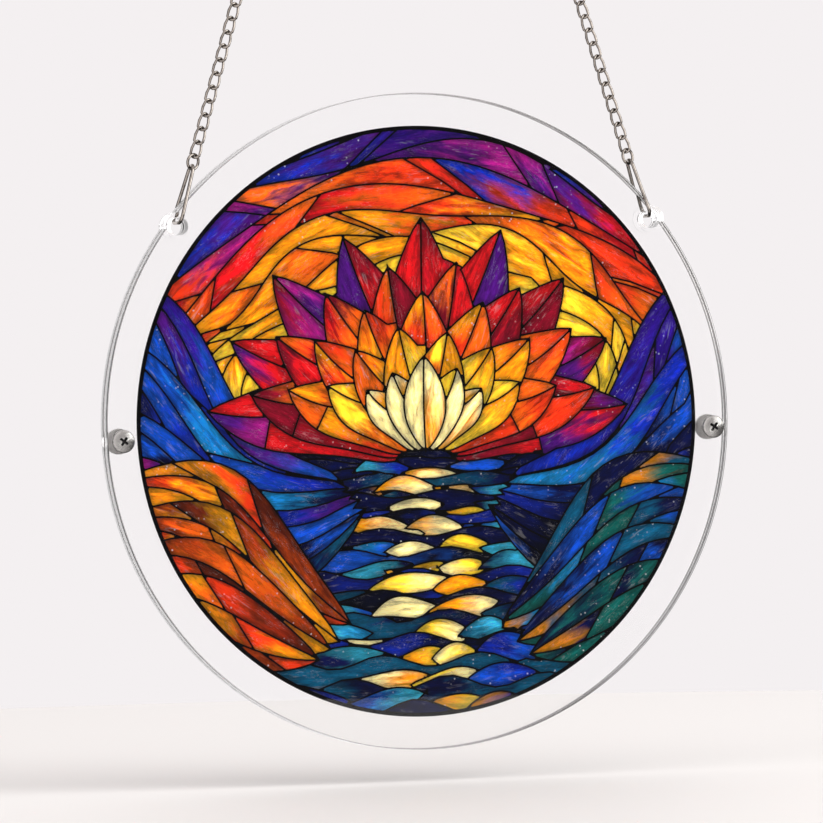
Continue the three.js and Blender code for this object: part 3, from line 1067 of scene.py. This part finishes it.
class SUNCATCHER_OT_stage(bpy.types.Operator):
    """Make the floor, the soft light and the camera"""

    bl_idname = "suncatcher.stage"
    bl_label = "Stage"

    def execute(self, context):
        settings = context.scene.suncatcher_stage
        self.make_camera(context, settings)
        self.make_floor(settings)
        self.make_world(context, settings)
        self.make_softbox()
        context.scene.view_settings.view_transform = "Standard"
        return {"FINISHED"}

    def make_camera(self, context, settings):
        """The camera is moved aside from the film's middle, which then lies off the picture's
        centre as it does in the photograph."""
        view = (
            Matrix.Rotation(settings.roll, 3, "Y")
            @ Matrix.Rotation(settings.lift, 3, "X")
            @ Matrix.Rotation(settings.turn, 3, "Z")
        )
        half = PHOTO_SIZE / 2
        offset = Vector((
            (PLATE_MIDDLE_X - half) / PIXELS_PER_METRE,
            settings.distance,
            (half - PLATE_MIDDLE_Y) / PIXELS_PER_METRE,
        ))
        data = bpy.data.cameras.new("camera")
        data.sensor_width = SENSOR_WIDTH
        data.lens = PIXELS_PER_METRE * settings.distance / PHOTO_SIZE * SENSOR_WIDTH
        data.clip_start = 0.05
        data.clip_end = 50
        camera = add_object("camera", data)
        right, forward, up = view[0], view[1], view[2]
        turned = Matrix((right, up, -forward)).transposed()
        place = FILM_MIDDLE - view.transposed() @ offset
        camera.matrix_world = Matrix.Translation(place) @ turned.to_4x4()
        context.scene.camera = camera

    def make_floor(self, settings):
        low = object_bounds()[0]
        deselect_all()
        bpy.ops.mesh.primitive_circle_add(
            vertices=96, radius=settings.floor_radius, fill_type="NGON",
            location=(0, 0, low.z - settings.gap),
        )
        floor = settle(bpy.context.object)
        floor.name = "floor"
        floor.visible_glossy = False
        material, _, shader = new_material("pale_floor")
        shader.inputs["Base Color"].default_value = (*settings.floor, 1)
        shader.inputs["Roughness"].default_value = 0.6
        floor.data.materials.append(material)
        floor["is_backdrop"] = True

    def make_world(self, context, settings):
        """A pale studio, dark at both sides so that clear edges and wire show their outlines."""
        world = bpy.data.worlds.new("soft_studio")
        world.use_nodes = True
        tree = world.node_tree
        way = node(tree, "ShaderNodeTexCoord").outputs["Generated"]

        def towards(direction):
            made = node(tree, "ShaderNodeVectorMath", {0: way, 1: direction}, operation="DOT_PRODUCT")
            return made.outputs["Value"]

        turn = settings.turn
        along_view = towards((math.sin(turn), math.cos(turn), 0))
        backdrop = product(tree, spread(tree, along_view, 0.62, 0.78, DARK_SIDES, BACKDROP),
                           spread(tree, along_view, 0.86, 0.94, 1.0, BACKDROP_CENTRE))
        front = spread(tree, along_view, -0.65, -0.3, BEHIND_CAMERA, DARK_SIDES)
        overhead = spread(tree, towards((0, 0, 1)), 0.5, 0.85, 0.0, OVERHEAD)
        level = math_node(tree, "MAXIMUM", math_node(tree, "MAXIMUM", backdrop, front), overhead)

        # A dark flag stands where the plates' flat faces mirror, so that they stay clear
        mirrored = towards((math.sin(turn), -math.cos(turn), 0))
        start, full = (math.cos(math.radians(edge)) for edge in FLAG_EDGES)
        level = product(tree, level, spread(tree, mirrored, start, full, 1.0, FLAG))
        wall = (*settings.wall, 1)
        studio = mix_colour(tree, level, (0, 0, 0, 1), wall)
        studio.node.clamp_factor = False
        seen = node(tree, "ShaderNodeLightPath").outputs["Is Camera Ray"]
        tree.links.new(mix_colour(tree, seen, studio, wall), tree.nodes["Background"].inputs["Color"])
        context.scene.world = world

    def make_softbox(self):
        data = bpy.data.lights.new("key_softbox", "AREA")
        data.size = SOFTBOX_SIZE
        data.energy = SOFTBOX_POWER
        lamp = add_object("key_softbox", data)
        lamp.location = SOFTBOX_PLACE
        lamp.rotation_euler = (FILM_MIDDLE - SOFTBOX_PLACE).to_track_quat("-Z", "Y").to_euler()


# The plates and the film

RIM_REACH = 0.3 * MM  # how near the plates' radius a wall's middle counts as rim


class SUNCATCHER_OT_plates(bpy.types.Operator):
    """Make the two clear plates with their ears and holes"""

    bl_idname = "suncatcher.plates"
    bl_label = "Clear plates"

    def execute(self, context):
        settings = context.scene.suncatcher_plates
        material = acrylic_material(settings.tint, settings.edge_shade_tint)
        for name, outward in (("front_plate", -1), ("back_plate", 1)):
            plate = self.make_plate(name, outward, settings)
            finish_piece(plate, name, material)
        return {"FINISHED"}

    def make_plate(self, name, outward, settings):
        low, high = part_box(name)
        inner = low[1] if outward > 0 else high[1]
        middle = FILM_MIDDLE.copy()
        middle.y = inner + outward * settings.thickness / 2
        plate = cylinder_along_y(f"clear_{name}", middle, PLATE_RADIUS, settings.thickness, 256)
        soften_edges(plate, settings.edge_round, 2)
        ear_depth = settings.thickness + settings.boss_height
        reach = PLATE_RADIUS - settings.ear_inside_rim
        places = [
            Vector((side * reach * math.cos(settings.ear_angle), inner + outward * ear_depth / 2,
                    middle.z + reach * math.sin(settings.ear_angle)))
            for side in (-1, 1)
        ]
        for place in places:
            ear = cylinder_along_y("ear", place, settings.ear_diameter / 2, ear_depth, 72)
            cut_or_join(plate, ear, "UNION")
        for place in places:
            hole = cylinder_along_y("hole", place, settings.ear_hole / 2, 4 * ear_depth, 56)
            cut_or_join(plate, hole, "DIFFERENCE")
        for side in SIDES:
            place = box_middle(f"screw_{side}")
            hole = cylinder_along_y("hole", place, settings.screw_hole / 2, 8 * ear_depth, 40)
            cut_or_join(plate, hole, "DIFFERENCE")
        soften_edges(plate, settings.hole_round, 2)
        smooth(plate)
        self.mark_cuts(plate)
        return plate

    def mark_cuts(self, plate):
        """Marks each face for the acrylic. The flat faces keep their own normals, so that they
        mirror and refract evenly."""
        marks = []
        for face in plate.data.polygons:
            level = abs(face.normal.y)
            if level > 0.98:
                face.use_smooth = False
                marks.append(FLAT_FACE)
            elif level < 0.1:
                from_middle = face.center - FILM_MIDDLE
                off_rim = abs(math.hypot(from_middle.x, from_middle.z) - PLATE_RADIUS)
                marks.append(RIM_WALL if off_rim < RIM_REACH else HOLE_WALL)
            else:
                marks.append(ROUNDED_EDGE)
        write_attribute(plate.data, "cut", "FLOAT", "FACE", marks)


class SUNCATCHER_OT_film(bpy.types.Operator):
    """Make the printed film between the plates"""

    bl_idname = "suncatcher.film"
    bl_label = "Printed film"

    def execute(self, context):
        settings = context.scene.suncatcher_print
        film = film_object("stained_glass_film", settings)
        finish_piece(film, "printed_film", print_material(settings.lead, settings.lead_width))
        return {"FINISHED"}


# The screws and nuts, whose cross recess is cut by two blades

TURNED_STEPS = 56
DOME_STEPS = 12
DOME_POWER = 2.6  # higher makes a flatter crown with a rounder shoulder
SCREW_SHANK = 1.5 * MM  # radius
HEAD_EDGE = 0.5 * MM
NUT_BORE = 1.65 * MM  # radius
NUT_CAP = 0.8 * MM
NUT_EDGE = 1.1 * MM
RECESS_WIDTH = 2.7 * MM
RECESS_DEPTH = 1.7 * MM
RECESS_SLOT = 0.75 * MM
RECESS_TURN = 36  # degrees
WIDTH_TAPER = 0.45  # shares of the blade's width and slot, gained outwards and lost inwards
SLOT_TAPER = 0.2
CROSS_REACH = 0.6  # share of the head's radius
CROSS_SHADE = 0.96  # how dark the painted shade makes the steel down in the cross, and at the head's outer edge
OUTER_EDGE_SHADE = 0.75


def turned_piece(name, profile):
    """A solid turned about the Y axis from a profile of (radius, y) that ends on the axis."""
    mesh = bpy.data.meshes.new(name)
    mesh.from_pydata([(radius, y, 0) for radius, y in profile],
                     [(i, i + 1) for i in range(len(profile) - 1)], [])
    obj = add_object(name, mesh)
    take(obj)
    bpy.ops.object.mode_set(mode="EDIT")
    bpy.ops.mesh.select_all(action="SELECT")
    bpy.ops.mesh.spin(steps=TURNED_STEPS, angle=2 * math.pi, center=(0, 0, 0), axis=(0, 1, 0))
    bpy.ops.mesh.select_all(action="SELECT")
    bpy.ops.mesh.remove_doubles(threshold=1e-6)
    bpy.ops.mesh.normals_make_consistent(inside=False)
    bpy.ops.object.mode_set(mode="OBJECT")
    return obj


def add_lathe_attribute(obj, middle):
    """Each point's place from the piece's own axis, in millimetres, for the tool marks."""
    values = []
    for vertex in obj.data.vertices:
        values += ((vertex.co.x - middle.x) / MM, 0, (vertex.co.z - middle.z) / MM)
    write_attribute(obj.data, "lathe", "FLOAT_VECTOR", "POINT", values)


def dome_drop(share, rise):
    """How far a crowned head has fallen at a share of its radius."""
    return rise * (1 - math.sqrt(max(0.0, 1 - share**DOME_POWER)))


def dome_profile(radius, crown, rise, facing):
    """Points (radius, y) from beside a crown's middle out to its shoulder. Facing is the crown's
    side along Y, 1 or -1."""
    shares = [k / DOME_STEPS for k in range(1, DOME_STEPS)]
    return [(radius * share, crown - facing * dome_drop(share, rise)) for share in shares]


def place_turned(piece, middle):
    """Moves a piece from the Y axis to its own axis, and finishes its faces."""
    piece.data.transform(Matrix.Translation((middle.x, 0, middle.z)))
    add_lathe_attribute(piece, middle)
    return smooth(piece, 35)


class SUNCATCHER_OT_screws(bpy.types.Operator):
    """Make the cross-recess screws and the cap nuts behind them"""

    bl_idname = "suncatcher.screws"
    bl_label = "Screws and nuts"

    def execute(self, context):
        settings = context.scene.suncatcher_metal
        turned = turned_material("turned_steel", settings.steel, 1, (0.2, 0.3), 0.8)
        satin = turned_material("satin_steel", settings.satin, 1, (0.74, 0.82), 0)
        for side in SIDES:
            screw = self.make_screw(side, settings)
            finish_piece(screw, f"screw_{side}", turned)
            nut = self.make_nut(side, settings)
            finish_piece(nut, f"cap_nut_{side}", satin)
        return {"FINISHED"}

    def make_screw(self, side, settings):
        low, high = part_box(f"screw_{side}")
        radius = settings.head_diameter / 2
        seat = low[1] + settings.head_height
        rise = settings.head_height - HEAD_EDGE
        # The crown, the head's straight edge and small underside rounding, then the shank
        profile = [(0, low[1])] + dome_profile(radius, low[1], rise, -1) + [
            (radius * 0.985, seat - HEAD_EDGE - 0.02 * MM), (radius, seat - HEAD_EDGE + 0.12 * MM),
            (radius, seat - 0.08 * MM), (radius - 0.08 * MM, seat), (SCREW_SHANK, seat),
            (SCREW_SHANK, high[1] - 0.15 * MM), (SCREW_SHANK - 0.15 * MM, high[1]), (0, high[1]),
        ]
        screw = turned_piece(f"pan_screw_{side}", profile)
        for turn in (0, 90):
            cut_or_join(screw, self.recess_blade(low[1], turn), "DIFFERENCE")
        soften_edges(screw, 0.05 * MM, 2, 50)
        self.mark_painted_shade(screw, low[1], seat, radius, rise)
        return place_turned(screw, box_middle(f"screw_{side}"))

    def mark_painted_shade(self, screw, crown, seat, radius, rise):
        """Marks where shade is painted on the steel: down in the cross, and at the head's outer edge."""
        marks = []
        for face in screw.data.polygons:
            centre = face.center
            share = math.hypot(centre.x, centre.z) / radius
            depth = centre.y - crown - dome_drop(share, rise)
            if centre.y < seat and share < CROSS_REACH and depth > 0.06 * MM:
                marks.append(CROSS_SHADE)
            else:
                marks.append(OUTER_EDGE_SHADE if share > 0.97 else 0.0)
        write_attribute(screw.data, "painted_shade", "FLOAT", "FACE", marks)

    def recess_blade(self, crown, turn):
        """One blade of the cross, which narrows inwards."""
        deselect_all()
        bpy.ops.mesh.primitive_cube_add(size=1, location=(0, crown, 0))
        blade = bpy.context.object
        blade.scale = (RECESS_WIDTH, RECESS_DEPTH, RECESS_SLOT)
        settle(blade)
        for vertex in blade.data.vertices:
            narrowing = -1 if vertex.co.y > crown else 1
            vertex.co.x *= 1 + WIDTH_TAPER * narrowing
            vertex.co.z *= 1 + SLOT_TAPER * narrowing
        blade.rotation_euler = (0, math.radians(RECESS_TURN + turn), 0)
        return settle(blade)

    def make_nut(self, side, settings):
        low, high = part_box(f"cap_nut_{side}")
        radius = settings.nut_diameter / 2
        bore_end = high[1] - NUT_CAP
        dome = dome_profile(radius, high[1], settings.nut_height - NUT_EDGE, 1)
        profile = [
            (0, bore_end), (NUT_BORE, bore_end), (NUT_BORE, low[1]), (radius - 0.1 * MM, low[1]),
            (radius, low[1] + 0.1 * MM), (radius, low[1] + NUT_EDGE), *dome[::-1], (0, high[1]),
        ]
        nut = turned_piece(f"round_nut_{side}", profile)
        return place_turned(nut, box_middle(f"cap_nut_{side}"))


# The rings, long links and chains

LONG_LINK_PLAY = 0.04 * MM  # between the long link and its CAD node's box, on each side
LONG_LINK_GAP = 0.12 * MM  # between the long link's wire and the jump ring that bears it
ARC_STEPS = 14
COUNT_MARGIN = 0.2  # of a link, so that a chain's links never run past its CAD node


def nickel_plate(settings):
    """The wire's material, made once."""
    return bpy.data.materials.get("nickel_plate") or wire_material(settings.nickel)


def chain_line(side):
    """The chain's direction from its ear to the hanging ring, and its turn about Y."""
    direction = (RING_MIDDLE - box_middle(f"chain_{side}")).normalized()
    return direction, math.atan2(direction.x, direction.z)


def ring_of_wire(name, middle, over_wire, wire, turn, major, minor):
    """A round ring: its axis is Y, turned about Z first, then about Y with its chain."""
    deselect_all()
    bpy.ops.mesh.primitive_torus_add(
        major_radius=(over_wire - wire) / 2, minor_radius=wire / 2, major_segments=major,
        minor_segments=minor, rotation=(math.pi / 2, 0, 0),
    )
    ring = bpy.context.object
    ring.name = ring.data.name = name
    settle(ring)
    about_z, about_y = turn
    ring.data.transform(
        Matrix.Translation(middle) @ Matrix.Rotation(about_y, 4, "Y") @ Matrix.Rotation(about_z, 4, "Z")
    )
    return smooth(ring, 60)


class SUNCATCHER_OT_rings(bpy.types.Operator):
    """Make the jump rings and the hanging ring"""

    bl_idname = "suncatcher.rings"
    bl_label = "Rings"

    def execute(self, context):
        settings = context.scene.suncatcher_metal
        material = nickel_plate(settings)
        for side in SIDES:
            about_y = chain_line(side)[1]
            for place, about_z in (("lower", settings.jump_turn), ("upper", math.pi / 2)):
                cad_name = f"{place}_ring_{side}"
                ring = ring_of_wire(
                    f"jump_{cad_name}", box_middle(cad_name), settings.jump_diameter,
                    settings.jump_wire, (about_z, about_y), 48, 14,
                )
                finish_piece(ring, cad_name, material)
        ring = ring_of_wire(
            "round_hanging_ring", RING_MIDDLE, settings.ring_inner + 2 * settings.ring_wire,
            settings.ring_wire, (0, 0), 96, 20,
        )
        finish_piece(ring, "hanging_ring", material)
        return {"FINISHED"}


class SUNCATCHER_OT_long_links(bpy.types.Operator):
    """Make the long pear-shaped links through the ears"""

    bl_idname = "suncatcher.long_links"
    bl_label = "Long links"

    def execute(self, context):
        settings = context.scene.suncatcher_metal
        material = nickel_plate(settings)
        for side in SIDES:
            link = self.make_link(side, settings)
            finish_piece(link, f"long_link_{side}", material)
        return {"FINISHED"}

    def link_path(self, side, settings):
        """Points round the wire's centre, in the YZ plane, bottom at z = 0."""
        low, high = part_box(f"long_link_{side}")
        half_width = (high[1] - low[1] - settings.long_wire) / 2 - LONG_LINK_PLAY
        corner = settings.long_corner
        top = (settings.long_top - settings.long_wire) / 2
        height = settings.long_length - settings.long_wire
        inset = half_width - corner
        rise = height - top - corner
        lean = math.atan2(inset, rise) + math.asin((corner - top) / math.hypot(rise, inset))
        arcs = [
            (inset, corner, corner, -math.pi / 2, lean),
            (0, height - top, top, lean, math.pi - lean),
            (-inset, corner, corner, math.pi - lean, 1.5 * math.pi),
        ]
        points = []
        for y, z, radius, start, end in arcs:
            for k in range(ARC_STEPS + 1):
                angle = start + (end - start) * k / ARC_STEPS
                points.append((0, y + radius * math.cos(angle), z + radius * math.sin(angle)))
        return points

    def make_link(self, side, settings):
        direction, about_y = chain_line(side)
        hold = (settings.long_wire + settings.jump_wire) / 2 + LONG_LINK_GAP
        below_ring = (settings.jump_diameter - settings.jump_wire) / 2 - hold
        top = box_middle(f"lower_ring_{side}") - direction * below_ring
        bottom = top - direction * (settings.long_length - settings.long_wire)
        curve = bpy.data.curves.new("long_link", "CURVE")
        curve.dimensions = "3D"
        curve.bevel_depth = settings.long_wire / 2
        curve.bevel_resolution = 4
        points = self.link_path(side, settings)
        spline = curve.splines.new("POLY")
        spline.points.add(len(points) - 1)
        for point, place in zip(spline.points, points):
            point.co = (*place, 1)
        spline.use_cyclic_u = True
        take(add_object(f"pear_link_{side}", curve))
        bpy.ops.object.convert(target="MESH")
        link = bpy.context.object
        link.data.name = link.name
        link.data.transform(Matrix.Translation(bottom) @ Matrix.Rotation(about_y, 4, "Y"))
        bpy.ops.object.mode_set(mode="EDIT")
        bpy.ops.mesh.select_all(action="SELECT")
        bpy.ops.mesh.normals_make_consistent(inside=False)
        bpy.ops.object.mode_set(mode="OBJECT")
        return smooth(link, 60)


class SUNCATCHER_OT_chains(bpy.types.Operator):
    """Make the two curb chains, link by link"""

    bl_idname = "suncatcher.chains"
    bl_label = "Chains"

    def execute(self, context):
        settings = context.scene.suncatcher_metal
        material = nickel_plate(settings)
        link = self.make_link(settings)
        for side in SIDES:
            chain = self.make_chain(side, link.data, settings)
            finish_piece(chain, f"chain_{side}", material)
        bpy.data.objects.remove(link, do_unlink=True)
        return {"FINISHED"}

    def make_link(self, settings):
        """A ring drawn out into an oval along Z, then twisted."""
        half_width = (settings.link_width - settings.link_wire) / 2
        half_length = (settings.link_pitch + settings.link_wire) / 2
        deselect_all()
        bpy.ops.mesh.primitive_torus_add(
            major_radius=half_width, minor_radius=settings.link_wire / 2, major_segments=16,
            minor_segments=7, rotation=(math.pi / 2, 0, 0),
        )
        link = settle(bpy.context.object)
        link.name = "one_link"
        for vertex in link.data.vertices:
            if abs(vertex.co.z) > 1e-7:
                vertex.co.z += math.copysign(half_length - half_width, vertex.co.z)
        twist = link.modifiers.new("twist", "SIMPLE_DEFORM")
        twist.deform_method = "TWIST"
        twist.deform_axis = "Z"
        twist.angle = settings.link_twist
        return apply_modifiers(link)

    def make_chain(self, side, mesh, settings):
        direction, about_y = chain_line(side)
        middle = box_middle(f"chain_{side}")
        size = box_size(f"chain_{side}")
        over_all = (size.z - settings.link_width * math.sin(abs(about_y))) / math.cos(about_y)
        count = round((over_all - settings.link_wire) / settings.link_pitch - COUNT_MARGIN)
        copies = []
        for k in range(count):
            place = middle + direction * settings.link_pitch * (k - (count - 1) / 2)
            matrix = Matrix.Translation(place) @ Matrix.Rotation(about_y, 4, "Y")
            copies.append(moved_copy(mesh, f"link_{side}_{k}", matrix))
        return smooth(join(copies, f"curb_chain_{side}"), 60)


class SUNCATCHER_PT_panel(bpy.types.Panel):
    """Lists the suncatcher's pieces in the sidebar"""

    bl_label = "Acrylic suncatcher"
    bl_idname = "SUNCATCHER_PT_panel"
    bl_space_type = "VIEW_3D"
    bl_region_type = "UI"
    bl_category = "Suncatcher"

    def draw(self, context):
        for name, group in PROPERTY_GROUPS.items():
            box = self.layout.box()
            settings = getattr(context.scene, name)
            for key in group.__annotations__:
                box.prop(settings, key)
        for operator in OPERATORS:
            self.layout.operator(operator.bl_idname)


OPERATORS = (
    SUNCATCHER_OT_stage,
    SUNCATCHER_OT_plates,
    SUNCATCHER_OT_film,
    SUNCATCHER_OT_screws,
    SUNCATCHER_OT_rings,
    SUNCATCHER_OT_long_links,
    SUNCATCHER_OT_chains,
)
CLASSES = (*PROPERTY_GROUPS.values(), *OPERATORS, SUNCATCHER_PT_panel)


def register():
    for cls in CLASSES:
        bpy.utils.register_class(cls)
    for name, group in PROPERTY_GROUPS.items():
        setattr(bpy.types.Scene, name, bpy.props.PointerProperty(type=group))


def unregister():
    for name in PROPERTY_GROUPS:
        delattr(bpy.types.Scene, name)
    for cls in reversed(CLASSES):
        bpy.utils.unregister_class(cls)


def main():
    register()
    bpy.ops.suncatcher.stage()
    bpy.ops.suncatcher.plates()
    bpy.ops.suncatcher.film()
    bpy.ops.suncatcher.screws()
    bpy.ops.suncatcher.rings()
    bpy.ops.suncatcher.long_links()
    bpy.ops.suncatcher.chains()
    bpy.context.view_layer.update()


if __name__ == "__main__":
    main()
